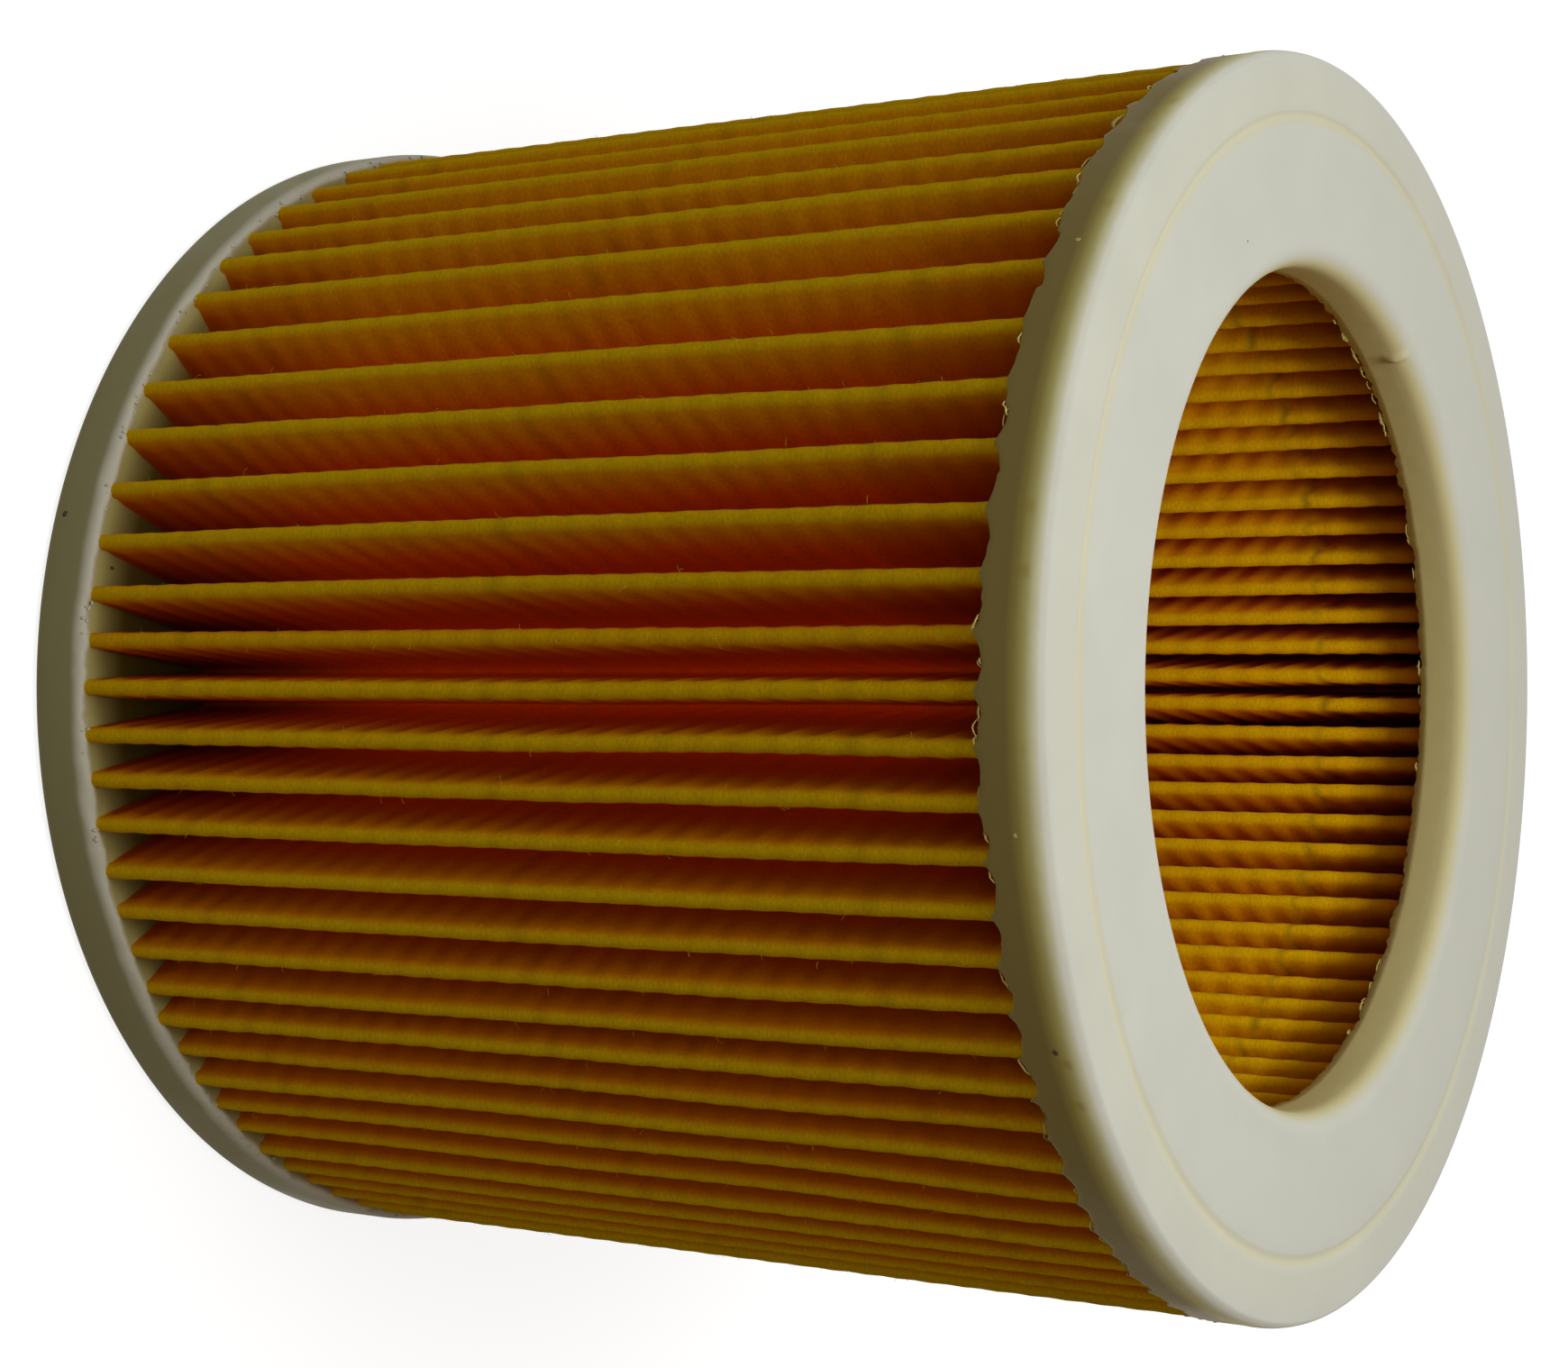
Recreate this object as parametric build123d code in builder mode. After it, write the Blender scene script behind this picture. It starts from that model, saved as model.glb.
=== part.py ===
from build123d import *
import os
from math import radians, sin

# Whole filter, standing on its closed end with the open end up
overall_height = 108.0

# Open end cap: a ring cast from soft polyurethane, whose bore seals on the collar of the filter basket
open_cap_diameter = 117.0
open_cap_thickness = 5.7
open_cap_edge_radius = 2.0
bore_diameter = 78.0
bore_lip_chamfer = 1.4
mould_line_diameter = 104.8
mould_line_width = 0.9
mould_line_depth = 0.25

# Closed end cap: a plain disc of the same casting, a little wider than the pleats
closed_cap_thickness = 6.0
closed_cap_overhang = 0.75
closed_cap_rim_chamfer = 0.5
closed_cap_foot_chamfer = 1.0

# Pleated media: one sheet of filter paper, folded and joined into a ring between the caps
pleat_count = 76
paper_thickness = 0.55
fold_gap = 0.4
fold_bevel = 0.5
outer_fold_inset = 0.35
inner_fold_inset = 2.0
# The pleats are gathered unevenly: the folds stray from even places in one swing round the ring and in
# another that comes twice. Each swing has a reach and a lead, all in degrees
first_fold_angle = 204.0
single_swing = 6.76
single_swing_lead = 19.9
double_swing = 2.76
double_swing_lead = 6.2

open_cap_radius = open_cap_diameter / 2
bore_radius = bore_diameter / 2
mould_line_radius = mould_line_diameter / 2
open_cap_bottom = overall_height - open_cap_thickness
outer_fold_radius = open_cap_radius - outer_fold_inset
inner_fold_radius = bore_radius + inner_fold_inset
closed_cap_radius = outer_fold_radius + closed_cap_overhang
media_height = open_cap_bottom - closed_cap_thickness
half_gap = fold_gap / 2
half_fold = half_gap + paper_thickness
half_crown = half_fold - fold_bevel


def fold_angle(turn):
    """The angle of a fold, which is given by its share of a full turn along the sheet."""
    even = 360 * turn
    once = single_swing * sin(radians(even + single_swing_lead))
    twice = double_swing * sin(radians(2 * even + double_swing_lead))
    return first_fold_angle + even + once + twice


def fold_point(turn, radius, across):
    """A point at a radius on the centre line of a fold and a distance across it."""
    return Vector(radius, across).rotate(Axis.Z, fold_angle(turn))


def crown(turn, radius, shoulder_radius):
    """The full side of a fold: a flat crown between two bevelled shoulders."""
    return [
        fold_point(turn, shoulder_radius, -half_fold),
        fold_point(turn, radius, -half_crown),
        fold_point(turn, radius, half_crown),
        fold_point(turn, shoulder_radius, half_fold),
    ]


def crease(turn, radius):
    """The hollow side of a fold: two corners with the free gap between them."""
    return [fold_point(turn, radius, -half_gap), fold_point(turn, radius, half_gap)]


# Each face of the sheet runs to and fro between the outer folds and the inner folds
outer_face = []
inner_face = []
for pleat in range(pleat_count):
    outer_turn = pleat / pleat_count
    inner_turn = (pleat + 0.5) / pleat_count
    outer_face += crown(outer_turn, outer_fold_radius, outer_fold_radius - fold_bevel)
    outer_face += crease(inner_turn, inner_fold_radius + paper_thickness)
    inner_face += crease(outer_turn, outer_fold_radius - paper_thickness)
    inner_face += crown(inner_turn, inner_fold_radius, inner_fold_radius + fold_bevel)

# Pleated media: the area within the sheet's outer face, less that within its inner face
with BuildPart() as pleated_media:
    with BuildSketch(Plane.XY.offset(closed_cap_thickness)):
        with BuildLine():
            Polyline(*outer_face, close=True)
        make_face()
        with BuildLine():
            Polyline(*inner_face, close=True)
        make_face(mode=Mode.SUBTRACT)
    extrude(amount=media_height)
pleated_media.part.label = "pleated_media"

# Open end cap: a flat ring with a rounded outer edge, a bevelled lip and a fine mould line on its face
with BuildPart() as open_end_cap:
    with BuildSketch(Plane.XY.offset(open_cap_bottom)):
        Circle(open_cap_radius)
        Circle(bore_radius, mode=Mode.SUBTRACT)
    extrude(amount=open_cap_thickness)
    lip, rim = open_end_cap.edges().group_by(Axis.Z)[-1].sort_by(SortBy.RADIUS)
    chamfer(lip, length=bore_lip_chamfer)
    rim = open_end_cap.edges().group_by(Axis.Z)[-1].sort_by(SortBy.RADIUS)[-1]
    fillet(rim, radius=open_cap_edge_radius)
    with BuildSketch(Plane.XY.offset(overall_height)):
        Circle(mould_line_radius + mould_line_width / 2)
        Circle(mould_line_radius - mould_line_width / 2, mode=Mode.SUBTRACT)
    extrude(amount=-mould_line_depth, mode=Mode.SUBTRACT)
open_end_cap.part.label = "open_end_cap"

# Closed end cap: a disc that the outer folds stop just short of
with BuildPart() as closed_end_cap:
    with BuildSketch(Plane.XY):
        Circle(closed_cap_radius)
    extrude(amount=closed_cap_thickness)
    chamfer(closed_end_cap.edges().group_by(Axis.Z)[0], length=closed_cap_foot_chamfer)
    chamfer(closed_end_cap.edges().group_by(Axis.Z)[-1], length=closed_cap_rim_chamfer)
closed_end_cap.part.label = "closed_end_cap"

os.makedirs("parts", exist_ok=True)
export_step(pleated_media.part, "parts/pleated_media.step")
export_step(open_end_cap.part, "parts/open_end_cap.step")
export_step(closed_end_cap.part, "parts/closed_end_cap.step")
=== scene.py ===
"""Looks of the vacuum cartridge filter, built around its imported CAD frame.

Lengths are in millimetres until a mesh is made, and in the paper's own coordinates along its sheet.
The stage is in metres, and so is a place that a material reads from its object.
"""
import math

import bpy
import numpy as np
from mathutils import Matrix


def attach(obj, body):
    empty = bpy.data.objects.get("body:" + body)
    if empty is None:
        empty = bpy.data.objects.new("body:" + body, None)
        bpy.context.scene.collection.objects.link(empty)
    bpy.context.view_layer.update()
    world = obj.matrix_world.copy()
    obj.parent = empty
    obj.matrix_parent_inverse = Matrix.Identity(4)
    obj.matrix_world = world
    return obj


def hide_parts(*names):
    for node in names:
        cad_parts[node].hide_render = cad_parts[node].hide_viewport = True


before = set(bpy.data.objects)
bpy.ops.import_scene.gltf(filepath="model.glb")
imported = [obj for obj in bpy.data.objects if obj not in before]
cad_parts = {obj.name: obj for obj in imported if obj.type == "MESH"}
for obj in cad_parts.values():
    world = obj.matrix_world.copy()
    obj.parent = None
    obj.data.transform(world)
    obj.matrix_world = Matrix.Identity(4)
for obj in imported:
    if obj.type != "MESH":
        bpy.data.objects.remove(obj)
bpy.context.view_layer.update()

MM = 0.001
FULL_TURN = 2 * math.pi

# Open cap: sizes of the solid, then the rounding of its outer edge and its lip,
# and a nick in the lip, whose place and width are angles
OPEN_CAP_RADIUS = 58.5
OPEN_CAP_TOP = 108.0
OPEN_CAP_BOTTOM = 102.3
BORE_RADIUS = 39.0
MOULD_LINE_RADIUS = 52.4
OPEN_CAP_EDGE = 0.8
ROUNDING_HEIGHT = 1.8
BORE_LIP = 2.0
LIP_NICK = math.radians(147.3)
LIP_NICK_WIDTH = 0.012
LIP_NICK_DEPTH = 0.45

# Closed cap
CLOSED_CAP_RADIUS = 58.88
CLOSED_CAP_TOP = 6.0
CLOSED_CAP_FOOT = 1.0

# Pleats, as in the solid: the folds stray from even places in one swing round the ring
# and in another that comes twice
PLEATS = 76
OUTER_FOLD_RADIUS = 58.15
INNER_FOLD_RADIUS = 41.0
HALF_FOLD = 0.75
HALF_GAP = 0.2
FIRST_FOLD = math.radians(204.0)
SINGLE_SWING, SINGLE_SWING_LEAD = math.radians(6.76), math.radians(19.9)
DOUBLE_SWING, DOUBLE_SWING_LEAD = math.radians(2.76), math.radians(6.2)
# Where the folds are pushed to one side and how far, and how wide such a place is, in degrees
BUNCHED = {228: -1.1, 259: 0.8}
BUNCH_WIDTH = 9
# How the folds stray sideways along their height: the spread of each kind of stray, and the most of all together
LEAN_SPREAD = 0.4
BOW_SPREAD = 0.3
SWAY_SPREAD, SWAY_PITCH, SWAY_FADE = 0.2, 46, 40
RIPPLE_SPREAD, RIPPLE_PITCH = 0.025, 17
SHIFT_SPREAD = 0.1
MOST_STRAY = 0.7
INNER_STRAY = 0.35
# How uneven the folds' radii are: spread and most
OUTER_UNEVEN, MOST_OUTER_UNEVEN = 0.1, 0.25
INNER_UNEVEN, MOST_INNER_UNEVEN = 0.12, 0.3

# Paper: its ends are cast into the caps, and fine grooves and tracer lines run across it
CAST_IN = 0.9
PAPER_BOTTOM = CLOSED_CAP_TOP - CAST_IN
PAPER_TOP = OPEN_CAP_BOTTOM + CAST_IN
PAPER_PIECES = 4
# Points of the mesh round the full side of a fold, and round its hollow side
FULL_STATIONS, HOLLOW_STATIONS = 5, 2
FIRST_TRACER = 17.8
TRACER_PITCH = 36.4
GROOVE_PITCH = 3.6
GROOVE_DEPTH = 0.15
GROOVE_AT_FOLDS = 0.25
GROOVE_ROUGHNESS = 0.02
BULGE_SPREAD = 0.16
BULGE_PITCHES = (41, 58)
STEPS_PER_GROOVE = 4
# The paper inside is darker from this height up, where the cap shades it
UNDER_CAP = 93.5
# Heights between which the painted red glow in the valleys rises from the dark closed end
GLOW_START, GLOW_FULL = 12.0, 36.0

# Castings: columns of the mesh for each pleat, and the glue stains on the open cap's edge, which some pleats have
COLUMNS = 16
STAINED_SHARE = 0.45
STAIN_HEIGHT = 105.9
STAIN_REACH = 0.5

# Small traces of making and use
FLASH_SLIVERS = 130
PAPER_FIBRES = 1800
RIM_GRAINS = 420
SLIVER_STATIONS = 9
FIBRE_STATIONS = 5
# Middle and spread in degrees, and number, of the shreds in the bore
BORE_LEAKS = [(141.0, 8.0, 16), (38.0, 5.0, 6), (90.0, 25.0, 8)]
BLOB_SIDES = 9
# Angle in degrees, radius, height, how far it faces outwards, size and flatness of each
NODULES = [
    (256.0, 58.3, 106.2, 0.9, 0.38, 0.35),
    (277.6, 58.3, 106.4, 0.9, 0.34, 0.35),
    (281.0, 58.45, 105.0, 1.0, 0.22, 0.35),
    (232.0, 58.45, 104.6, 1.0, 0.25, 0.3),
]
SPECKS = [
    (299.0, 58.5, 105.3, 1.0, 0.22, 0.3),
    (253.6, 58.9, 1.9, 1.0, 0.3, 0.25),
    (258.1, 55.5, 6.0, 0.0, 0.2, 0.4),
    (265.5, 58.6, 5.7, 0.8, 0.25, 0.3),
    (178.0, 51.3, 107.97, 0.0, 0.12, 0.15),
    (8.5, 51.2, 107.97, 0.0, 0.14, 0.15),
    (206.8, 43.7, 107.97, 0.0, 0.1, 0.15),
]

# Stage, in metres and watts
FLOOR_REACH = 6.0
LAMP_PLACE = (-0.02, -0.08, 0.408)
LAMP_SIZE = 0.11
LAMP_POWER = 0.756
ROOM_BRIGHT_SIDE, ROOM_DIM_SIDE = 0.54, 0.11
CAMERA_PLACE = (-0.00066, -0.25147, 0.20675)
CAMERA_TILT, CAMERA_YAW, CAMERA_ROLL = math.radians(32.29), math.radians(-0.06), math.radians(90.11)
CAMERA_LENS = 65.62
CAMERA_SENSOR = 36.0


def fold_angle(turn):
    """The angle of a fold that lies a share of a full turn along the sheet."""
    even = FULL_TURN * turn
    once = SINGLE_SWING * np.sin(even + SINGLE_SWING_LEAD)
    twice = DOUBLE_SWING * np.sin(2 * even + DOUBLE_SWING_LEAD)
    angle = FIRST_FOLD + even + once + twice
    for place, shift in BUNCHED.items():
        angle = angle + math.radians(shift) * np.exp(-((np.degrees(angle) - place) / BUNCH_WIDTH) ** 2)
    return angle


def smooth_step(low, high, value):
    """0 at low, 1 at high and a smooth rise between them."""
    share = np.clip((value - low) / (high - low), 0, 1)
    return share * share * (3 - 2 * share)


def neighbours_alike(values):
    """Evens out values between pleats that stand side by side."""
    return (np.roll(values, 1, 0) + 2 * values + np.roll(values, -1, 0)) / 4


def wavering(rng, count, reach):
    """Uneven values round a closed ring, about 1 at most, that change over a reach of columns."""
    steps = np.arange(count)
    away = np.minimum(steps, count - steps)
    kernel = np.exp(-((away / reach) ** 2))
    noise = np.fft.ifft(np.fft.fft(rng.normal(size=count)) * np.fft.fft(kernel)).real
    return noise / (2.2 * noise.std())


def cylindrical(radius, angle, height):
    """Points from their radii, angles and heights."""
    return np.stack([radius * np.cos(angle), radius * np.sin(angle), height + 0 * angle], -1)


# Meshes


def make_piece(name, points, faces, material, attributes=None):
    """A smooth mesh from points in millimetres. Each attribute has one number or vector for each point."""
    mesh = bpy.data.meshes.new(name)
    mesh.from_pydata((np.asarray(points) * MM).tolist(), [], faces)
    mesh.shade_smooth()
    for label, values in (attributes or {}).items():
        values = np.asarray(values, np.float32)
        if values.ndim == 1:
            mesh.attributes.new(label, "FLOAT", "POINT").data.foreach_set("value", values)
        else:
            mesh.attributes.new(label, "FLOAT_VECTOR", "POINT").data.foreach_set("vector", values.ravel())
    mesh.materials.append(material)
    piece = bpy.data.objects.new(name, mesh)
    bpy.context.scene.collection.objects.link(piece)
    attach(piece, "root")
    return piece


def grid_faces(columns, rows, first=0, closed=False, looped=False, flip=False):
    """Quads between neighbouring points of a grid whose points run column by column.

    Closed joins the last column to the first, and looped the last row to the first.
    """
    across = np.arange(columns if closed else columns - 1)[:, None]
    along = np.arange(rows if looped else rows - 1)[None, :]
    here = first + across * rows
    there = first + (across + 1) % columns * rows
    ahead = (along + 1) % rows
    quads = np.stack([here + along, there + along, there + ahead, here + ahead], -1).reshape(-1, 4)
    return (quads[:, ::-1] if flip else quads).tolist()


# Paper


def fold_drift(rng, heights):
    """How far each fold strays sideways from its even place at each height."""
    share = (heights - CLOSED_CAP_TOP) / (OPEN_CAP_BOTTOM - CLOSED_CAP_TOP)
    below_cap = OPEN_CAP_BOTTOM - heights

    def each(spread):
        return rng.normal(0, spread, (PLEATS, 1))

    lean = neighbours_alike(each(LEAN_SPREAD)) * (share - 0.5)
    bow = neighbours_alike(each(BOW_SPREAD)) * np.sin(math.pi * share)
    phase = neighbours_alike(rng.uniform(0, FULL_TURN, (PLEATS, 1)))
    fade = np.exp(-np.maximum(below_cap, 0) / SWAY_FADE)
    sway = neighbours_alike(each(SWAY_SPREAD)) * fade * np.sin(FULL_TURN * heights / SWAY_PITCH + phase)
    ripple = each(RIPPLE_SPREAD) * np.sin(FULL_TURN * heights / RIPPLE_PITCH + 2 * phase)
    return np.clip(each(SHIFT_SPREAD) + lean + bow + sway + ripple, -MOST_STRAY, MOST_STRAY)


def fold_stations(angle, radius, turned, width, count):
    """Points round a fold, for each pleat and height. turned is 1 for an outer fold and -1 for an inner one."""
    bend = np.linspace(-math.pi / 2, math.pi / 2, count)
    out = (radius - turned * HALF_FOLD)[..., None] + turned * width[..., None] * np.cos(bend)
    across = width[..., None] * np.sin(bend)
    cos, sin = np.cos(angle)[..., None], np.sin(angle)[..., None]
    return np.stack([out * cos - across * sin, out * sin + across * cos], -1)


def flank_stations(start, end, shares, bulge, groove):
    """Points on the flank between two folds, which bulges a little and has grooves across it."""
    along = end - start
    outwards = np.stack([along[..., 1], -along[..., 0]], -1) / np.linalg.norm(along, axis=-1)[..., None]
    points = []
    for share in shares:
        push = math.sin(math.pi * share) * bulge + groove
        points.append(start + share * along + push[..., None] * outwards)
    return np.stack(points, 2)


def sheet_face(outside, outer, inner, groove, bulges):
    """One face of the folded sheet: for each pleat and height, the points from one trough's end to the next."""
    outer_angle, outer_radius = outer
    inner_angle, inner_radius = inner
    at_outer, at_inner = (HALF_FOLD, HALF_GAP) if outside else (HALF_GAP, HALF_FOLD)
    on_crest, on_trough = (FULL_STATIONS, HOLLOW_STATIONS) if outside else (HOLLOW_STATIONS, FULL_STATIONS)
    shallow = GROOVE_AT_FOLDS * groove
    crest = fold_stations(outer_angle, outer_radius, 1, at_outer + shallow, on_crest)
    trough = fold_stations(inner_angle, inner_radius, -1, at_inner - shallow, on_trough)
    before = np.roll(trough, 1, 0)[:, :, -1]
    deeper = groove - shallow
    rising = flank_stations(before, crest[:, :, 0], (0.12, 0.55, 0.9), bulges[0], deeper)
    falling = flank_stations(crest[:, :, -1], trough[:, :, 0], (0.1, 0.45, 0.88), bulges[1], deeper)
    return np.concatenate([rising, crest, falling, trough], 2)


def sheet_run(face):
    """How far along the flat sheet each point of a face lies, taken at mid height."""
    path = face[:, face.shape[1] // 2].reshape(-1, 2)
    steps = np.linalg.norm(np.diff(path, axis=0, append=path[:1]), axis=1)
    return np.concatenate([[0], np.cumsum(steps)])


def end_faces(pleats, levels, level, per_pleat, inner_first):
    """The sheet's cut edge at one level, as polygons that join its two faces.

    Each run pairs neighbouring stations of the outer face with those of the inner face that lie across the paper.
    A fold's full side has five stations and its hollow side two.
    """
    runs = [((0, 1), (0, 1)), ((1, 2), (1, 2)), ((2, 3), (2, 3)), (range(3, 8), (3, 4))]
    runs += [((7, 8), (4, 5)), ((8, 9), (5, 6)), ((9, 10), (6, 7)), ((10, 11), (7, 8))]
    runs += [((11, 12), range(8, 13)), ((12, 13), (12, 13))]
    faces = []
    for start in range(0, pleats * per_pleat, per_pleat):
        for outer_run, inner_run in runs:
            there = [(start + station) * levels + level for station in outer_run]
            back = [inner_first + (start + station) * levels + level for station in reversed(inner_run)]
            faces.append(there + back)
    return faces if level else [face[::-1] for face in faces]


def make_paper(material):
    """The folded sheet as quarters of a ring, each with both faces of the paper and its cut edges.

    It gives back the heights of the mesh, and the outer folds' angles and radii there.
    """
    rng = np.random.default_rng(7)
    step = GROOVE_PITCH / STEPS_PER_GROOVE
    heights = np.arange(PAPER_BOTTOM, PAPER_TOP + step / 2, step)
    levels = len(heights)
    turns = np.arange(PLEATS)[:, None] / PLEATS
    drift = fold_drift(rng, heights)
    inner_drift = INNER_STRAY * fold_drift(rng, heights)
    outer_uneven = np.clip(rng.normal(0, OUTER_UNEVEN, (PLEATS, 1)), -MOST_OUTER_UNEVEN, MOST_OUTER_UNEVEN)
    inner_uneven = np.clip(rng.normal(0, INNER_UNEVEN, (PLEATS, 1)), -MOST_INNER_UNEVEN, MOST_INNER_UNEVEN)
    outer_radius = OUTER_FOLD_RADIUS + outer_uneven + 0 * drift
    inner_radius = INNER_FOLD_RADIUS + inner_uneven + 0 * drift
    outer = fold_angle(turns) + drift / OUTER_FOLD_RADIUS, outer_radius
    inner = fold_angle(turns + 0.5 / PLEATS) + inner_drift / INNER_FOLD_RADIUS, inner_radius
    wave = np.cos(FULL_TURN * (heights - PAPER_BOTTOM) / GROOVE_PITCH)
    groove = GROOVE_DEPTH * wave * rng.uniform(0.75, 1.15, (PLEATS, 1))
    groove = groove + rng.normal(0, GROOVE_ROUGHNESS, drift.shape)
    slow = [np.sin(FULL_TURN * heights / span + rng.uniform(0, FULL_TURN, (PLEATS, 1))) for span in BULGE_PITCHES]
    bulges = [rng.normal(0, BULGE_SPREAD, (PLEATS, 1)) * swing for swing in slow]

    faces = [sheet_face(outside, outer, inner, groove, bulges) for outside in (True, False)]
    runs = [sheet_run(face) for face in faces]
    per_pleat = faces[0].shape[2]
    share = PLEATS // PAPER_PIECES
    columns = share * per_pleat + 1
    for number in range(PAPER_PIECES):
        first = number * share * per_pleat
        wanted = (np.arange(columns) + first) % (PLEATS * per_pleat)
        points, places, depths = [], [], []
        for face, run, outside in zip(faces, runs, (True, False)):
            flat = face.transpose(0, 2, 1, 3).reshape(-1, levels, 2)[wanted]
            tall = np.broadcast_to(heights, flat.shape[:2])
            points.append(np.concatenate([flat, tall[..., None]], -1).reshape(-1, 3))
            along = np.broadcast_to(run[first:][:columns, None], tall.shape)
            places.append(np.stack([along, tall, 0 * tall + outside], -1).reshape(-1, 3))
            out = np.linalg.norm(flat, axis=-1)
            depth = (out - INNER_FOLD_RADIUS) / (OUTER_FOLD_RADIUS - INNER_FOLD_RADIUS)
            depths.append((1 - depth if outside else depth).ravel())
        inner_first = columns * levels
        quads = grid_faces(columns, levels) + grid_faces(columns, levels, inner_first, flip=True)
        for level in (0, levels - 1):
            quads += end_faces(share, levels, level, per_pleat, inner_first)
        attributes = {"sheet": np.concatenate(places), "depth": np.clip(np.concatenate(depths), 0, 1)}
        piece = make_piece(f"pleated_paper_{number + 1}", np.concatenate(points), quads, material, attributes)
        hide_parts("pleated_media")
    return heights, *outer


# Castings


def ring_angles():
    """The angle of each column of a casting. The columns follow the pleats."""
    turns = np.arange(PLEATS * COLUMNS) / (PLEATS * COLUMNS)
    return fold_angle(turns)


def between_tips():
    """For each column of a casting: 0 at a pleat's tip to 1 midway to the next one, and the nearest pleat's number."""
    column = np.arange(PLEATS * COLUMNS)
    share = column % COLUMNS / COLUMNS
    return 1 - np.abs(2 * share - 1), (column + COLUMNS // 2) // COLUMNS % PLEATS


def arc_rows(radius, height, size, start, end, count):
    """Rows of a rounded edge: the centre of the round is at a radius and a height."""
    turn = np.radians(np.linspace(start, end, count))
    return [(radius + size * math.cos(t), height + size * math.sin(t)) for t in turn]


def skirt_edge():
    """For each column, how far the ragged lower edge of the open cap's skirt stands above its even height."""
    rng = np.random.default_rng(11)
    count = PLEATS * COLUMNS
    apart, pleat = between_tips()
    depth = rng.uniform(0.35, 0.95, PLEATS)[pleat]
    rise = depth * (1 - (1 - apart) ** rng.uniform(1.6, 3.2, PLEATS)[pleat])
    return rise - 0.5 + 0.09 * wavering(rng, count, 1.0) + 0.12 * wavering(rng, count, 9)


def revolve_rows(rows):
    """Points of a ring, with their tint and yellowing, from rows of (radius, height, tint, yellowing).

    Each of these is a number, or an array with one for each column.
    """
    angle = ring_angles()
    points = np.zeros((len(angle), len(rows), 3))
    tone_and_shade = np.zeros((len(angle), len(rows)))
    yellowed = np.zeros((len(angle), len(rows)))
    for number, (radius, height, value, yellow) in enumerate(rows):
        points[:, number] = cylindrical(radius, angle, height)
        tone_and_shade[:, number] = value
        yellowed[:, number] = yellow
    return points, tone_and_shade, yellowed


def make_open_cap(material):
    """The open cap, as rows that run up the skirt, over the face, down the bore and back under the cap."""
    rng = np.random.default_rng(12)
    count = PLEATS * COLUMNS
    apart, pleat = between_tips()
    scallop = skirt_edge()
    ragged = 0.2 * wavering(rng, count, 1.5) + 0.16 * wavering(rng, count, 7)
    swell = 0.05 * wavering(rng, count, 60) - 0.07

    edge, top = OPEN_CAP_EDGE, OPEN_CAP_TOP
    rows = []

    def row(radius, height, tone_and_shade, lift=0, out=0, yellow=0):
        rows.append((radius + out, height + lift, tone_and_shade, yellow))

    # The values that the rows give the colour ramp paint shade, dark and yellow down the skirt and under the cap, and a
    # painted highlight on the outer rounding below the face.
    skirt = [(0.25, 0.02, 0.95), (0.05, 0.1, 0.93), (0, 0.25, 0.97)]
    skirt += [(0, 0.6, 1.0), (0, 1.2, 1.0), (0, 2.3, 1.0), (0, 3.1, 0.85)]
    for inset, rise, tone_and_shade in skirt:
        lift = scallop * max(0, 1 - rise / 2.0)
        row(OPEN_CAP_RADIUS - inset, OPEN_CAP_BOTTOM + rise, tone_and_shade, lift, 0.6 * swell)
    for radius, height in arc_rows(OPEN_CAP_RADIUS - edge, 0, edge, 0, 90, 10):
        height = top + ROUNDING_HEIGHT * (height / edge - 1)
        row(radius, height, np.interp(top - height, (0, 0.5, 1.2, 1.9), (0, 0.2, 0.45, 0.65)))
    row(55.2, top - 0.02, 0, 0.3 * swell, yellow=0.08)
    row(53.6, top, 0, yellow=0.08)
    mould_line = [(0.75, 0, 0.1), (0.5, 0.1, 0.2), (0.36, 0.22, 0.34), (0, 0.25, 0.28)]
    mould_line += [(-0.3, 0.2, 0.34), (-0.5, 0.07, 0.15), (-0.8, 0, 0)]
    for offset, sunk, yellow in mould_line:
        row(MOULD_LINE_RADIUS + offset, top - sunk, 0, yellow=yellow)
    for radius in (49.5, 46.5, 43.5, 41.5):
        row(radius, top, 0, 0.4 * swell)
    from_nick = (ring_angles() - LIP_NICK + math.pi) % FULL_TURN - math.pi
    nick = LIP_NICK_DEPTH * np.exp(-((from_nick / LIP_NICK_WIDTH) ** 2))
    for radius, height in arc_rows(BORE_RADIUS + BORE_LIP, top - BORE_LIP, BORE_LIP, 90, 180, 7):
        yellow = 0.85 * smooth_step(top, top - 0.6 * BORE_LIP, height)
        row(radius, height, 0, 0, -nick * (height < top - 0.3), yellow)
    row(BORE_RADIUS, 105.2, 0, yellow=0.95)
    row(BORE_RADIUS, 103.4, 0, yellow=1)
    row(BORE_RADIUS + 0.05, 102.5, 0, ragged, yellow=1)
    row(BORE_RADIUS + 0.3, 102.5, 0.8, 0.8 * ragged, yellow=0.8)
    for radius in (42.0, 47.0, 53.0, 57.3):
        row(radius, OPEN_CAP_BOTTOM + 0.15, 0.9, scallop * (radius - BORE_RADIUS) / 19)

    points, tone_and_shade, yellowed = revolve_rows(rows)
    stained = np.where(rng.random(PLEATS) < STAINED_SHARE, rng.uniform(0.3, 1.0, PLEATS), 0)[pleat]
    stained = stained * smooth_step(0.35, 0.05, apart)
    on_edge = np.hypot(points[..., 0], points[..., 1]) > 56
    stain = stained[:, None] * np.exp(-(((points[..., 2] - STAIN_HEIGHT) / STAIN_REACH) ** 2)) * on_edge
    faces = grid_faces(count, len(rows), closed=True, looped=True)
    attributes = {"tone_and_shade": tone_and_shade.ravel(), "yellowed": yellowed.ravel(), "stain": stain.ravel()}
    piece = make_piece("open_cap_casting", points.reshape(-1, 3), faces, material, attributes)
    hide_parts("open_end_cap")


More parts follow.
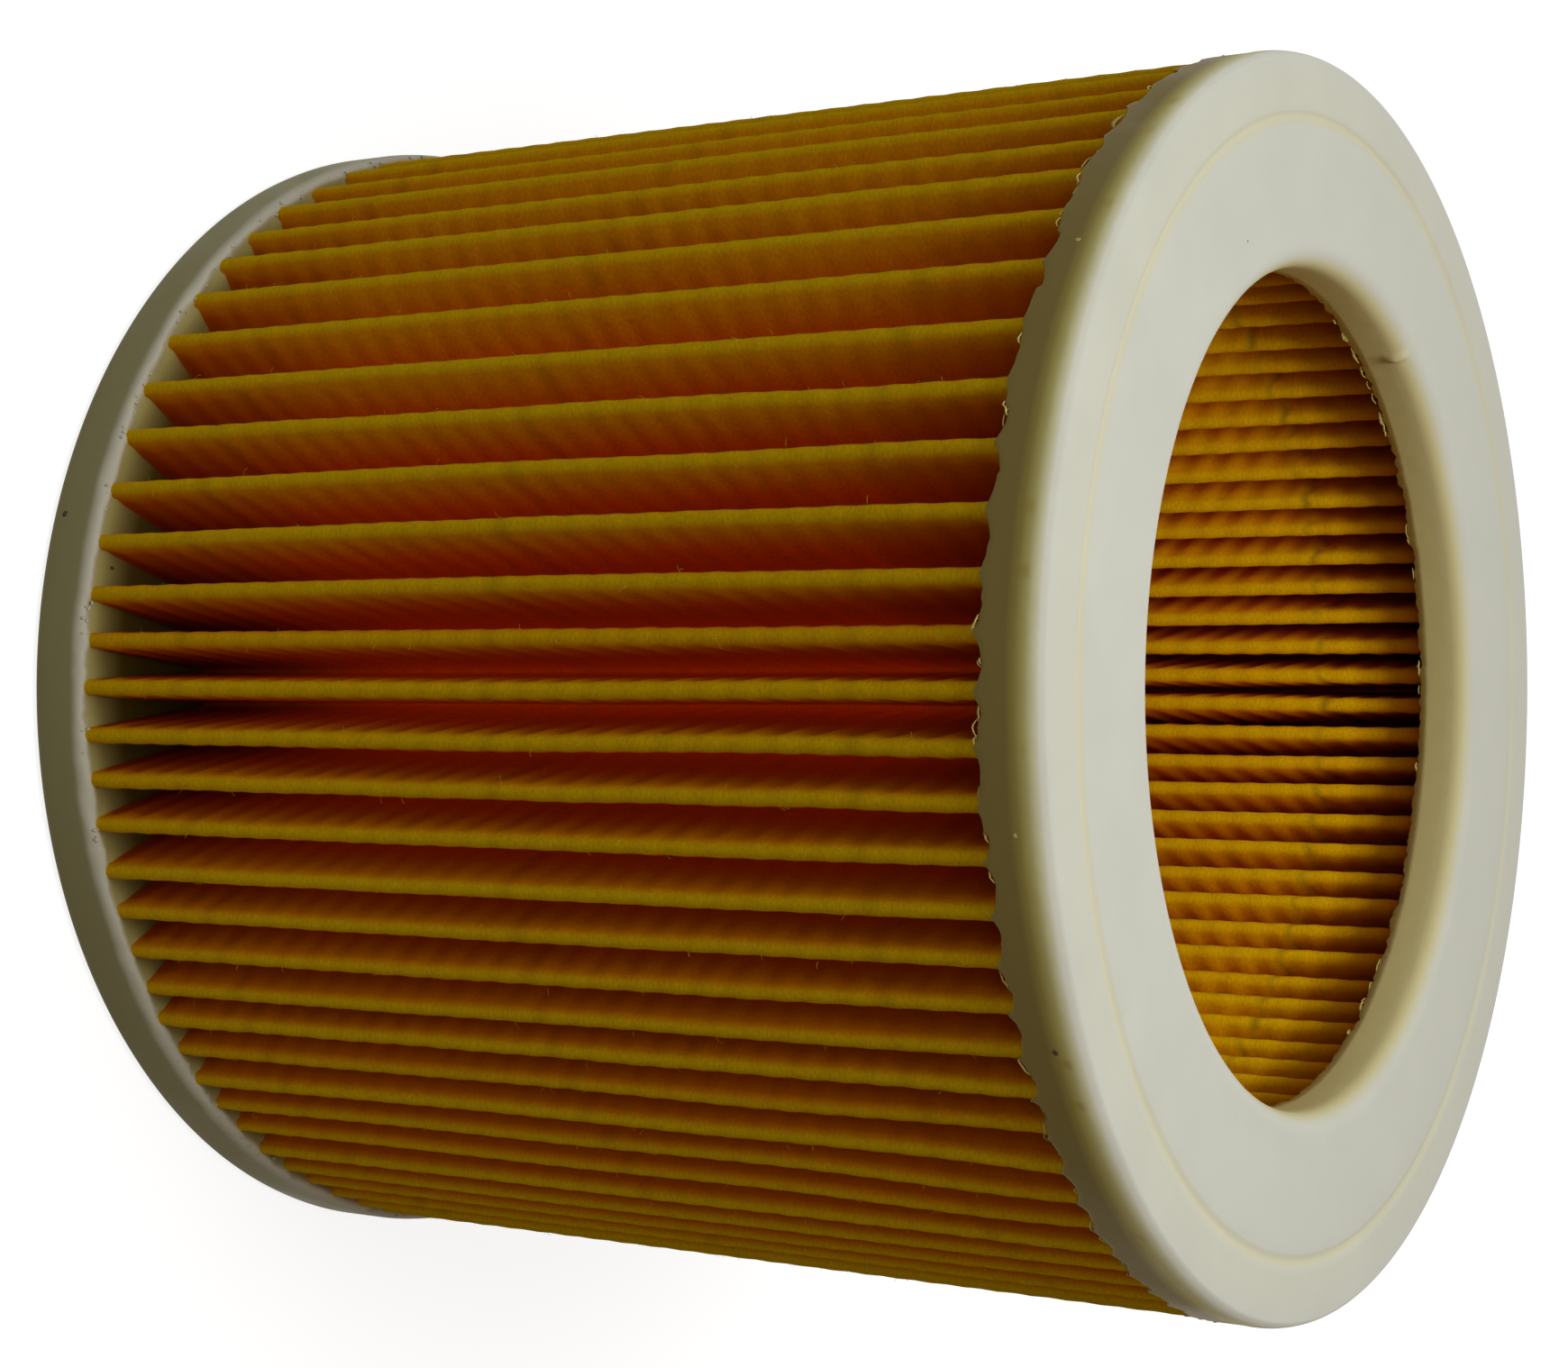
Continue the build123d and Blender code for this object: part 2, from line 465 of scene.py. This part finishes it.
def make_closed_cap(material):
    """The closed cap, as rows that run from the middle of its foot up the side and over the top to the middle again."""
    rng = np.random.default_rng(23)
    count = PLEATS * COLUMNS
    apart, _ = between_tips()
    bead = 0.2 * wavering(rng, count, 6) + 0.1 * wavering(rng, count, 50) + 0.12 * wavering(rng, count, 1.3)
    edge = 0.2 * wavering(rng, count, 12) + 0.2 * wavering(rng, count, 3)
    radius, top, foot = CLOSED_CAP_RADIUS, CLOSED_CAP_TOP, CLOSED_CAP_FOOT
    rows = []

    def row(at, height, tone_and_shade):
        rows.append((at, height, tone_and_shade, 0))

    # The values that the rows give the colour ramp paint shade: dull on the side, darker and yellower between the
    # pleats and on the floor inside; the rim keeps the casting's own pale colour.
    for at in (3.0, 15.0, 30.0, 45.0, 56.0):
        row(at, 0.0, 0.45)
    for at, height in arc_rows(radius - foot, foot, foot, -90, 0, 5):
        row(at, height, 0)
    for height, tone_and_shade in ((2.4, 0), (3.8, 0), (4.9, 0.02), (5.2, 0.15)):
        row(radius, height + 0.5 * edge, tone_and_shade)
    row(radius - 0.05, top - 0.4 + 0.3 * edge, 0.36)
    row(radius - 0.25 + 0.3 * np.minimum(edge, 0), top + 0.1 + edge, 0.5)
    row(radius - 0.6 + 0.4 * edge, top + 0.32 + bead, 0.5)
    row(radius - 1.0 + 0.5 * edge, top + 0.25 + bead, 0.64)
    row(radius - 1.4 + 0.5 * edge, top + 0.1 + 0.6 * bead, 0.72)
    climb = 0.55 * (1 - apart) ** 2
    row(radius - 1.9, top + climb, 0.75)
    row(radius - 2.6, top - 0.05 + climb, 0.8)
    row(55.3, top - 0.05 + 0.7 * climb, 0.87)
    for at in (53.0, 50.0, 47.0, 43.0, 40.5):
        row(at, top - 0.05 + 0.5 * climb, 1)
    for at in (38.0, 30.0, 20.0, 10.0, 3.0):
        row(at, top, 0.75)

    points, tone_and_shade, _ = revolve_rows(rows)
    faces = grid_faces(count, len(rows), closed=True)
    last = len(rows) - 1
    faces.append([column * len(rows) for column in reversed(range(count))])
    faces.append([column * len(rows) + last for column in range(count)])
    piece = make_piece("closed_cap_casting", points.reshape(-1, 3), faces, material, {"tone_and_shade": tone_and_shade.ravel()})
    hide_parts("closed_end_cap")


# Small traces of making and use


def tube_points(path, across, upright):
    """Points of a thin diamond-shaped tube along a path, with a half width across and a half height upright."""
    return np.stack([path + across, path + upright, path - across, path - upright], 1).reshape(-1, 3)


def tube_faces(stations, first):
    """Sides and ends of such a tube, whose points start at number first."""
    faces = []
    for station in range(stations - 1):
        for side in range(4):
            a = first + 4 * station + side
            b = first + 4 * station + (side + 1) % 4
            faces.append([a, b, b + 4, a + 4])
    last = first + 4 * (stations - 1)
    return faces + [[first + 3, first + 2, first + 1, first], [last, last + 1, last + 2, last + 3]]


def make_flash(material):
    """Slivers of casting that ran out of the mould's joint and cling to the skirt's ragged edge."""
    rng = np.random.default_rng(31)
    stations = SLIVER_STATIONS
    along = np.linspace(0, 1, stations)
    arch = np.sin(math.pi * along)
    angles = ring_angles()
    edge = skirt_edge()
    points, faces = [], []
    for number in range(FLASH_SLIVERS):
        large = number % 9 == 0
        start = rng.integers(len(angles))
        reach = rng.uniform(0.02, 0.05) if large else rng.uniform(0.009, 0.03)
        angle = angles[start] + reach * along
        level = OPEN_CAP_BOTTOM + 0.05 + np.interp(angle, angles, edge, period=FULL_TURN)
        drop = rng.uniform(0.3, 0.6) if large else rng.uniform(0.1, 0.35)
        thick = rng.uniform(0.09, 0.2) if large else rng.uniform(0.04, 0.09)
        curl = rng.uniform(-0.1, 0.2)
        jag = thick * rng.normal(0, 0.35, stations) * arch
        path = cylindrical(OPEN_CAP_RADIUS - 0.12 + curl * arch, angle, level - drop * arch + jag)
        outwards = cylindrical(1, angle, 0) * 0.07
        upright = np.stack([0 * along, 0 * along, 0.02 + thick * np.sqrt(arch)], -1)
        faces += tube_faces(stations, len(points) * 4 * stations)
        points.append(tube_points(path, outwards, upright))
    points = np.concatenate(points)
    # The slivers take the skirt's dark yellow colours, which are painted shade.
    tone_and_shade = np.repeat(rng.uniform(0.62, 0.95, FLASH_SLIVERS), 4 * stations)
    piece = make_piece("casting_flash", points, faces, material, {"tone_and_shade": tone_and_shade})


def make_bore_flash(material):
    """Shreds of casting that hang from the lower edge of the bore where the mould leaked."""
    rng = np.random.default_rng(35)
    stations = SLIVER_STATIONS
    along = np.linspace(0, 1, stations)
    arch = np.sin(math.pi * along)
    points, faces = [], []
    for middle, spread, count in BORE_LEAKS:
        for _ in range(count):
            angle = math.radians(rng.normal(middle, spread)) + rng.uniform(0.015, 0.05) * along
            thick = rng.uniform(0.03, 0.12)
            jag = thick * rng.normal(0, 0.5, stations) * arch
            drop = rng.uniform(0.0, 0.2)
            radius = BORE_RADIUS + 0.05 - rng.uniform(0, 0.2) * arch
            path = cylindrical(radius, angle, OPEN_CAP_BOTTOM + 0.1 - drop * arch + jag)
            outwards = cylindrical(1, angle, 0) * 0.08
            upright = np.stack([0 * along, 0 * along, 0.02 + thick * np.sqrt(arch)], -1)
            faces += tube_faces(stations, len(points) * 4 * stations)
            points.append(tube_points(path, outwards, upright))
    points = np.concatenate(points)
    # The shreds take the dark colour of the painted shade under the cap.
    piece = make_piece("bore_flash", points, faces, material, {"tone_and_shade": np.full(len(points), 0.82)})


def make_fibres(heights, fold_angles, fold_radii, material):
    """Stray fibres that stand out of the paper along the outer folds, whose angles and radii are given by height."""
    rng = np.random.default_rng(41)
    stations = FIBRE_STATIONS
    along = np.linspace(0, 1, stations)
    points, faces = [], []
    for _ in range(PAPER_FIBRES):
        pleat = rng.integers(PLEATS)
        height = rng.uniform(CLOSED_CAP_TOP + 4, OPEN_CAP_BOTTOM - 3)
        reach = rng.uniform(0.3, 1.1)
        lean = rng.uniform(0, FULL_TURN)
        bend = rng.uniform(-1.2, 1.2)
        heading = lean + bend * along
        sideways = np.cumsum(np.cos(heading)) * reach / stations
        upwards = np.cumsum(np.sin(heading)) * reach / stations
        off = rng.uniform(-0.6, 0.6)
        lift = rng.uniform(0.1, 0.35)
        angle = np.interp(height, heights, fold_angles[pleat]) + (off + sideways) / OUTER_FOLD_RADIUS
        radius = fold_radii[pleat, 0] - 0.35 * abs(off) + lift * np.sin(math.pi * along * rng.uniform(0.5, 1.1))
        path = cylindrical(np.minimum(radius, OPEN_CAP_RADIUS + 0.2), angle, height + upwards)
        fine = rng.uniform(0.010, 0.020)
        across = cylindrical(1, angle + math.pi / 2, 0) * fine
        upright = np.stack([0 * along, 0 * along, fine + 0 * along], -1)
        faces += tube_faces(stations, len(points) * 4 * stations)
        points.append(tube_points(path, across, upright))
    piece = make_piece("paper_fibres", np.concatenate(points), faces, material)


def blob(rng, centre, outwards, size, flat):
    """A lumpy low dome on a surface: its points, in rings from the rim to the top."""
    outwards = np.asarray(outwards, float) / np.linalg.norm(outwards)
    side = np.cross(outwards, (0.3, 0.4, 0.87))
    side /= np.linalg.norm(side)
    other = np.cross(outwards, side)
    turn = np.arange(BLOB_SIDES) * FULL_TURN / BLOB_SIDES
    lumps = rng.uniform(0.7, 1.3, BLOB_SIDES)
    points = []
    for share, rise in ((1.0, -0.3), (0.95, 0.25), (0.6, 0.8), (0.2, 1.0)):
        spread = size * share * lumps[:, None] * (np.cos(turn)[:, None] * side + np.sin(turn)[:, None] * other)
        points.append(np.asarray(centre) + spread + size * flat * rise * outwards)
    return np.concatenate(points)


def blob_faces(first):
    """Faces of such a dome, whose points start at number first."""
    faces = []
    for ring in range(3):
        for step in range(BLOB_SIDES):
            a = first + ring * BLOB_SIDES + step
            b = first + ring * BLOB_SIDES + (step + 1) % BLOB_SIDES
            faces.append([a, b, b + BLOB_SIDES, a + BLOB_SIDES])
    last = first + 3 * BLOB_SIDES
    top = [last + step for step in range(BLOB_SIDES)]
    under = [first + step for step in reversed(range(BLOB_SIDES))]
    return faces + [top, under]


def rim_grains():
    """Places of the small grains that the casting left along the closed cap's rim."""
    rng = np.random.default_rng(71)
    turn = rng.uniform(0, 360, RIM_GRAINS)
    radius = CLOSED_CAP_RADIUS - rng.uniform(0.3, 1.1, RIM_GRAINS)
    height = CLOSED_CAP_TOP + rng.uniform(0.1, 0.4, RIM_GRAINS)
    size = rng.uniform(0.07, 0.2, RIM_GRAINS)
    return [(t, r, h, 0.4, s, 0.7) for t, r, h, s in zip(turn, radius, height, size)]


def make_blobs(name, seed, places, material, attributes):
    """Small domes on the castings. Each place has its values in the order that NODULES gives."""
    rng = np.random.default_rng(seed)
    points, faces = [], []
    for degrees, radius, height, out, size, flat in places:
        angle = math.radians(degrees)
        centre = (radius * math.cos(angle), radius * math.sin(angle), height)
        facing = (out * math.cos(angle), out * math.sin(angle), 1 - abs(out))
        faces += blob_faces(len(points) * 4 * BLOB_SIDES)
        points.append(blob(rng, centre, facing, size, flat))
    points = np.concatenate(points)
    values = {label: np.full(len(points), value) for label, value in attributes.items()}
    piece = make_piece(name, points, faces, material, values)


# Materials


class Nodes:
    """A node tree, filled in few words. An input is a number, a colour or another node's output."""

    def __init__(self, tree):
        self.tree = tree

    def node(self, kind, inputs=None, **settings):
        made = self.tree.nodes.new(kind)
        for key, value in settings.items():
            setattr(made, key, value)
        for key, value in (inputs or {}).items():
            self.give(made.inputs[key], value)
        return made

    def give(self, socket, value):
        if isinstance(value, bpy.types.NodeSocket):
            self.tree.links.new(value, socket)
        else:
            socket.default_value = value

    def attribute(self, name, output="Fac"):
        return self.node("ShaderNodeAttribute", attribute_name=name).outputs[output]

    def place(self):
        return self.node("ShaderNodeTexCoord").outputs["Object"]

    def stretched(self, vector, scale):
        return self.node("ShaderNodeMapping", {"Vector": vector, "Scale": scale}).outputs["Vector"]

    def noise(self, vector, scale, detail=3.0, rough=0.55):
        inputs = {"Vector": vector, "Scale": scale, "Detail": detail, "Roughness": rough}
        return self.node("ShaderNodeTexNoise", inputs).outputs["Fac"]

    def math(self, operation, first, second=0.0, third=0.0, clamp=False):
        made = self.node("ShaderNodeMath", operation=operation, use_clamp=clamp)
        for socket, value in zip(made.inputs, (first, second, third)):
            self.give(socket, value)
        return made.outputs[0]

    def rescale(self, value, low, high, new_low=0.0, new_high=1.0):
        inputs = {"Value": value, "From Min": low, "From Max": high, "To Min": new_low, "To Max": new_high}
        return self.node("ShaderNodeMapRange", inputs).outputs["Result"]

    def mix(self, share, first, second, blend="MIX"):
        made = self.node("ShaderNodeMix", data_type="RGBA", blend_type=blend)
        colours = [socket for socket in made.inputs if socket.type == "RGBA"]
        self.give(made.inputs["Factor"], share)
        self.give(colours[0], first)
        self.give(colours[1], second)
        return next(socket for socket in made.outputs if socket.type == "RGBA")

    def ramp(self, value, *stops):
        made = self.node("ShaderNodeValToRGB", {"Fac": value})
        elements = made.color_ramp.elements
        while len(elements) < len(stops):
            elements.new(0.5)
        for element, (position, colour) in zip(elements, stops):
            element.position = position
            element.color = colour
        return made.outputs["Color"]

    def bump(self, height, distance, strength):
        inputs = {"Height": height, "Distance": distance, "Strength": strength}
        return self.node("ShaderNodeBump", inputs).outputs["Normal"]


class Shader(Nodes):
    """A material with one principled shader."""

    def __init__(self, name):
        self.material = bpy.data.materials.new(name)
        self.material.use_nodes = True
        super().__init__(self.material.node_tree)
        self.surface = self.tree.nodes["Principled BSDF"]

    def set(self, **values):
        """Gives the shader's inputs their values. A blank in an input's name is written as an underscore."""
        for key, value in values.items():
            self.give(self.surface.inputs[key.replace("_", " ")], value)


def rgb(red, green, blue):
    """An opaque colour, in linear values."""
    return (red, green, blue, 1.0)


def shaded(s, colour, shade):
    """A colour times a number that varies over the surface."""
    grey = s.node("ShaderNodeCombineColor", {"Red": shade, "Green": shade, "Blue": shade}).outputs[0]
    return s.mix(1.0, colour, grey, "MULTIPLY")


def paper_material():
    """Yellow filter paper with tracer lines across it, and painted shade: redder where light only reaches it from fold
    to fold, darker near the caps and on one side, with a painted red glow in the valleys.

    Of the sheet's coordinates, Y is the height, and Z is 1 on the outer face and 0 on the inner one.
    The depth is 0 at the crests of a face's own folds and 1 at the bottom of its valleys.
    """
    s = Shader("filter_paper")
    sheet = s.attribute("sheet", "Vector")
    place = s.node("ShaderNodeSeparateXYZ", {"Vector": sheet}).outputs
    height, outside = place["Y"], place["Z"]
    depth = s.attribute("depth")
    # The ramps paint shade: redder deeper in each valley, and the outer crests darker than the inner ones.
    outer = s.ramp(
        depth,
        (0.0, rgb(0.62, 0.385, 0.003)),
        (0.012, rgb(0.62, 0.37, 0.003)),
        (0.035, rgb(0.67, 0.31, 0.003)),
        (0.18, rgb(0.80, 0.29, 0.002)),
        (0.36, rgb(0.96, 0.21, 0.001)),
        (1.0, rgb(0.985, 0.15, 0.001)),
    )
    inner = s.ramp(
        depth,
        (0.0, rgb(0.93, 0.56, 0.003)),
        (0.1, rgb(0.94, 0.44, 0.003)),
        (0.4, rgb(0.96, 0.28, 0.002)),
        (1.0, rgb(0.97, 0.18, 0.001)),
    )
    colour = s.mix(outside, inner, outer)
    fibre = s.noise(s.stretched(sheet, (1.8, 3.8, 1)), 1.0, 2.0, 0.7)
    cloud = s.noise(s.stretched(sheet, (0.35, 0.15, 1)), 1.0, 1.0)
    waver = s.rescale(cloud, 0.3, 0.7, -0.9, 0.9)
    # Painted shade: light and dark streaks along the grooves, mostly on the flanks.
    turns = s.math("MULTIPLY_ADD", height, FULL_TURN / GROOVE_PITCH, waver)
    rib = s.math("MULTIPLY", s.math("SINE", turns), s.rescale(cloud, 0.3, 0.7, 0.01, 0.11))
    rib = s.math("MULTIPLY", rib, s.rescale(depth, 0.02, 0.1, 0.15, 1.0))
    rib = s.math("MULTIPLY", rib, s.rescale(outside, 0.0, 1.0, 0.35, 1.0))
    colour = shaded(s, colour, s.math("ADD", s.rescale(fibre, 0.25, 0.75, 0.82, 1.22), rib))
    past_tracer = s.math("MULTIPLY_ADD", waver, 0.6, s.math("SUBTRACT", height, FIRST_TRACER))
    away = s.math("PINGPONG", past_tracer, TRACER_PITCH / 2)
    breadth = s.rescale(outside, 0.0, 1.0, 0.95, 1.5)
    patchy = s.rescale(cloud, 0.35, 0.65, 1.0, 0.3)
    strength = s.math("MULTIPLY", s.rescale(outside, 0.0, 1.0, 0.62, 0.22), patchy)
    mark = s.math("MULTIPLY", s.rescale(s.math("DIVIDE", away, breadth), 0.1, 1.0, 1.0, 0.0), strength)
    colour = s.mix(mark, colour, rgb(0.2, 0.12, 0.01))
    # Painted shade: the valleys go darker and redder near both caps.
    end_shade = s.ramp(
        s.math("DIVIDE", height, OPEN_CAP_TOP),
        (0.06, rgb(0.9, 0.9, 0.9)),
        (0.26, rgb(0, 0, 0)),
        (0.8, rgb(0, 0, 0)),
        (0.945, rgb(0.9, 0.9, 0.9)),
    )
    end_shade = s.math("MULTIPLY", end_shade, s.rescale(depth, 0.02, 0.14, 0.04, 0.9))
    # Painted shade: the flanks go darker and redder towards the +X side.
    side = s.node("ShaderNodeSeparateXYZ", {"Vector": s.place()}).outputs["X"]
    off_the_tips = s.rescale(depth, 0.012, 0.07, 0.0, outside)
    unlit = s.math("MULTIPLY", s.rescale(side, -0.015, 0.045, 0.0, 0.75), off_the_tips)
    colour = s.mix(s.math("MAXIMUM", end_shade, unlit), colour, rgb(0.56, 0.075, 0.001))
    under_cap = s.rescale(height, UNDER_CAP, OPEN_CAP_BOTTOM, 0.0, s.rescale(outside, 0.0, 1.0, 0.85, 0.0))
    colour = s.mix(under_cap, colour, rgb(0.34, 0.06, 0.001))
    s.set(Base_Color=colour, Roughness=0.9, Specular_IOR_Level=0.0)
    # Painted glow: the deep outer valleys emit a faint red light that stands in for light through the paper.
    through = s.math("MULTIPLY", s.rescale(depth, 0.2, 0.9, 0.0, outside), s.math("SUBTRACT", 1.0, end_shade))
    through = s.math("MULTIPLY", through, s.rescale(side, -0.03, 0.0, 0.0, 0.027))
    through = s.math("MULTIPLY", through, s.rescale(height, GLOW_START, GLOW_FULL))
    s.set(Emission_Color=rgb(1.0, 0.15, 0.0), Emission_Strength=through)
    s.material.cycles.emission_sampling = "NONE"
    return s.material


def fibre_material():
    """Loose fibres, paler than the paper."""
    s = Shader("paper_fibre")
    patches = s.noise(s.place(), 900.0, 2.0)
    colour = s.ramp(patches, (0.3, rgb(0.48, 0.31, 0.01)), (0.7, rgb(0.64, 0.46, 0.06)))
    s.set(Base_Color=colour, Roughness=0.7, Specular_IOR_Level=0.2)
    return s.material


def dust_material():
    """Dark specks of dust."""
    s = Shader("dust")
    patches = s.noise(s.place(), 2500.0, 2.0)
    colour = s.ramp(patches, (0.35, rgb(0.02, 0.02, 0.015)), (0.65, rgb(0.09, 0.08, 0.05)))
    s.set(Base_Color=colour, Roughness=0.8, Specular_IOR_Level=0.2)
    return s.material


def casting_material(name, *stops):
    """Cast polyurethane with a satin skin. The stops give its colour by the value of each place, which holds painted
    shade as well as the casting's own colour.
    """
    s = Shader(name)
    place = s.place()
    tone_and_shade = s.attribute("tone_and_shade")
    cloud = s.noise(place, 110.0, 2.0)
    colour = shaded(s, s.ramp(tone_and_shade, *stops), s.rescale(cloud, 0.3, 0.7, 0.96, 1.02))
    colour = s.mix(s.attribute("yellowed"), colour, rgb(0.61, 0.54, 0.235))
    stain = s.math("MULTIPLY", s.attribute("stain"), s.rescale(cloud, 0.35, 0.65, 0.3, 0.9))
    colour = s.mix(stain, colour, rgb(0.42, 0.27, 0.03))
    skin = s.bump(s.noise(place, 480.0, 2.0, 0.45), 0.00012, 0.4)
    gloss = s.rescale(cloud, 0.3, 0.7, 0.45, 0.6)
    s.set(Base_Color=colour, Roughness=gloss, Specular_IOR_Level=0.08, Normal=skin)
    return s.material


def open_cap_material():
    """Pale on the face, with a painted highlight along the outer edge, and painted shade that makes it yellower and
    darker down the skirt and under the cap.
    """
    return casting_material(
        "cast_polyurethane_open",
        (0.0, rgb(0.525, 0.534, 0.466)),
        (0.2, rgb(0.77, 0.77, 0.65)),
        (0.45, rgb(0.76, 0.73, 0.40)),
        (0.65, rgb(0.64, 0.57, 0.20)),
        (0.85, rgb(0.42, 0.345, 0.09)),
        (1.0, rgb(0.264, 0.203, 0.062)),
    )


def closed_cap_material():
    """Pale along the rim, with painted shade that makes it dull on the side and yellower and darker between the pleats.
    """
    return casting_material(
        "cast_polyurethane_closed",
        (0.0, rgb(0.3, 0.275, 0.128)),
        (0.5, rgb(0.54, 0.52, 0.415)),
        (0.75, rgb(0.41, 0.37, 0.12)),
        (1.0, rgb(0.12, 0.08, 0.01)),
    )


# Stage


def background_ray(s):
    """1 for a ray that shows the background itself: from the camera, in a reflection or through something clear."""
    path = s.node("ShaderNodeLightPath").outputs
    mirrored = s.math("MAXIMUM", path["Is Glossy Ray"], path["Is Transmission Ray"])
    clear = s.math("SUBTRACT", mirrored, path["Is Diffuse Ray"], clamp=True)
    return s.math("MAXIMUM", path["Is Camera Ray"], clear)


def add_floor():
    """A wide pale floor. It looks white, with the filter's shadow on it, and throws some of the light back up."""
    corners = [(-1, -1, 0), (1, -1, 0), (1, 1, 0), (-1, 1, 0)]
    mesh = bpy.data.meshes.new("floor")
    mesh.from_pydata((np.array(corners) * FLOOR_REACH).tolist(), [], [[0, 1, 2, 3]])
    floor = bpy.data.objects.new("floor", mesh)
    bpy.context.scene.collection.objects.link(floor)
    s = Shader("floor")
    seen = background_ray(s)
    s.tree.nodes.remove(s.surface)
    colour = s.mix(seen, rgb(0.34, 0.33, 0.31), rgb(0.3, 0.3, 0.3))
    matte = s.node("ShaderNodeBsdfDiffuse", {"Color": colour}).outputs[0]
    away = s.node("ShaderNodeVectorMath", {0: s.place()}, operation="LENGTH").outputs["Value"]
    glow = s.math("MULTIPLY", seen, s.rescale(away, 0.1, 0.3, 0.86, 0.965))
    white = s.node("ShaderNodeEmission", {"Color": rgb(1, 1, 1), "Strength": glow}).outputs[0]
    both = s.node("ShaderNodeAddShader")
    s.give(both.inputs[0], matte)
    s.give(both.inputs[1], white)
    s.give(s.tree.nodes["Material Output"].inputs["Surface"], both.outputs[0])
    mesh.materials.append(s.material)


def add_light():
    """A small soft lamp above the near half of the open face, and a fill from the room, brighter from one side."""
    lamp = bpy.data.lights.new("overhead", "AREA")
    lamp.shape = "DISK"
    lamp.size = LAMP_SIZE
    lamp.energy = LAMP_POWER
    piece = bpy.data.objects.new("overhead", lamp)
    piece.location = LAMP_PLACE
    bpy.context.scene.collection.objects.link(piece)

    world = bpy.data.worlds.new("room")
    world.use_nodes = True
    s = Nodes(world.node_tree)
    background = s.tree.nodes["Background"]
    direction = s.node("ShaderNodeTexCoord").outputs["Generated"]
    sideways = s.node("ShaderNodeSeparateXYZ", {"Vector": direction}).outputs["X"]
    across = s.rescale(sideways, -1.0, 1.0)
    seen = background_ray(s)
    tone = s.ramp(across, (0.0, rgb(1, 1, 1)), (0.45, rgb(1, 0.97, 0.9)), (1.0, rgb(1, 0.62, 0.3)))
    s.give(background.inputs["Color"], s.mix(seen, tone, rgb(1, 1, 1)))
    fill = s.rescale(across, 0.0, 1.0, ROOM_BRIGHT_SIDE, ROOM_DIM_SIDE)
    s.give(background.inputs["Strength"], s.math("MAXIMUM", seen, fill))
    bpy.context.scene.world = world


def add_camera():
    """The photograph's camera: it looks down at the standing filter, rolled so that up is to the right."""
    data = bpy.data.cameras.new("camera")
    data.sensor_fit = "HORIZONTAL"
    data.sensor_width = CAMERA_SENSOR
    data.lens = CAMERA_LENS
    camera = bpy.data.objects.new("camera", data)
    aim = Matrix.Rotation(CAMERA_YAW, 4, "Z") @ Matrix.Rotation(math.pi / 2 - CAMERA_TILT, 4, "X")
    camera.matrix_world = Matrix.Translation(CAMERA_PLACE) @ aim @ Matrix.Rotation(CAMERA_ROLL, 4, "Z")
    bpy.context.scene.collection.objects.link(camera)
    bpy.context.scene.camera = camera


bpy.context.scene.view_settings.view_transform = "Standard"
add_camera()
add_light()
add_floor()
folds = make_paper(paper_material())
open_casting = open_cap_material()
closed_casting = closed_cap_material()
make_open_cap(open_casting)
make_closed_cap(closed_casting)
make_flash(open_casting)
make_bore_flash(open_casting)
make_fibres(*folds, fibre_material())
# The nodules take the skirt's dark yellow colour, which is painted shade.
make_blobs("casting_nodules", 51, NODULES, open_casting, {"tone_and_shade": 0.75})
make_blobs("rim_grains", 52, rim_grains(), closed_casting, {"tone_and_shade": 0.5})
make_blobs("dust_specks", 61, SPECKS, dust_material(), {})
